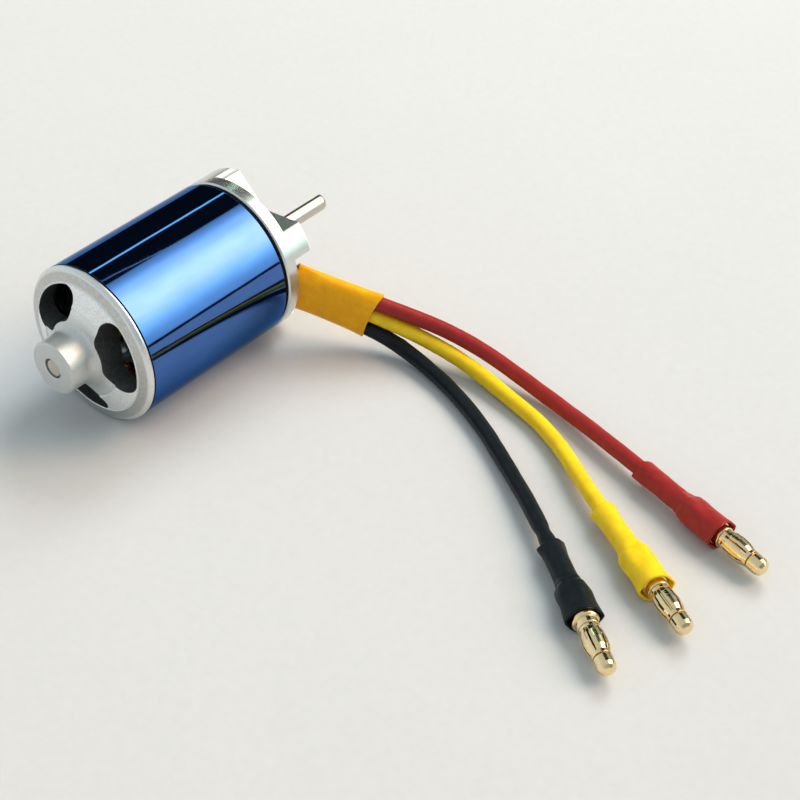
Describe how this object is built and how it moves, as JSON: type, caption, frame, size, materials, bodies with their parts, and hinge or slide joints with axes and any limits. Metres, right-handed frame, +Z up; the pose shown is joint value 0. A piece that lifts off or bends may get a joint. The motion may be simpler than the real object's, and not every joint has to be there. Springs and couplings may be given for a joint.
{
  "type": "brushless outrunner motor",
  "caption": "Small brushless outrunner motor: turning can with a windowed bell and hub, lobed fixed mount, flatted output shaft and short leads with bullet plugs.",
  "frame": {"origin": "centre of the mounting face, on the shaft axis", "axes": "+X along the shaft towards the driven end, +Z up, as it lies on its side on a table 14 mm below the axis"},
  "size_m": [0.0634, 0.1195, 0.028],
  "materials": {
    "mount_alloy": "fine satin, machined",
    "bell_alloy": "satin, bead blasted, turned rim",
    "lamination_steel": "coated electrical-steel sheets",
    "insulator_sheet": "epoxy-coated fibre sheet",
    "copper_wire": null,
    "black_rubber": "matt",
    "bearing_steel": "ground and polished",
    "shield_steel": "pressed sheet",
    "shaft_steel": "ground",
    "spring_steel": "black oxide",
    "spacer_brass": "turned",
    "black_screw_steel": "black oxide",
    "blue_plating": "mirror-bright blue electroplating on steel",
    "magnet_nickel": "nickel-plated sintered magnet",
    "red_heat_shrink": "satin polyolefin tubing",
    "yellow_heat_shrink": "satin polyolefin tubing",
    "yellow_sleeve": "satin polyolefin tubing",
    "black_heat_shrink": "satin polyolefin tubing",
    "gold_contact": "gold-plated, polished"
  },
  "bodies": {
    "stator": {"mount_base": "mount_alloy", "stator_core": "lamination_steel", "insulator_front": "insulator_sheet", "insulator_rear": "insulator_sheet", "windings": "copper_wire", "phase_tails": "copper_wire", "lead_grommet": "black_rubber", "front_bearing_outer_race": "bearing_steel", "rear_bearing_outer_race": "bearing_steel", "front_bearing_shields": "shield_steel", "rear_bearing_shields": "shield_steel", "lead_red": "red_heat_shrink", "lead_yellow": "yellow_heat_shrink", "lead_black": "black_heat_shrink", "lead_sleeve": "yellow_sleeve", "boot_red": "red_heat_shrink", "boot_yellow": "yellow_heat_shrink", "boot_black": "black_heat_shrink", "bullet_pin_red": "gold_contact", "bullet_pin_yellow": "gold_contact", "bullet_pin_black": "gold_contact", "bullet_cage_red": "gold_contact", "bullet_cage_yellow": "gold_contact", "bullet_cage_black": "gold_contact"},
    "rotor": {"bell_cap": "bell_alloy", "flux_ring": "blue_plating", "magnets": "magnet_nickel", "shaft": "shaft_steel", "grub_screws": "black_screw_steel", "retaining_clip": "spring_steel", "thrust_washer": "bearing_steel", "rotor_spacer": "spacer_brass", "front_bearing_inner_race": "bearing_steel", "rear_bearing_inner_race": "bearing_steel"},
    "front_ball_set": {"front_bearing_balls": "bearing_steel"},
    "rear_ball_set": {"rear_bearing_balls": "bearing_steel"}
  },
  "joints": [
    {"name": "rotor_spin", "type": "hinge", "parent": "stator", "child": "rotor", "pos_m": [0, 0, 0], "axis": [1, 0, 0], "continuous": true},
    {"name": "front_balls_spin", "type": "hinge", "parent": "stator", "child": "front_ball_set", "pos_m": [-0.00281, 0, 0], "axis": [1, 0, 0], "continuous": true},
    {"name": "rear_balls_spin", "type": "hinge", "parent": "stator", "child": "rear_ball_set", "pos_m": [-0.03202, 0, 0], "axis": [1, 0, 0], "continuous": true}
  ],
  "couplings": [
    {"joint": "front_balls_spin", "follows": "rotor_spin", "ratio": 0.374},
    {"joint": "rear_balls_spin", "follows": "rotor_spin", "ratio": 0.374}
  ]
}
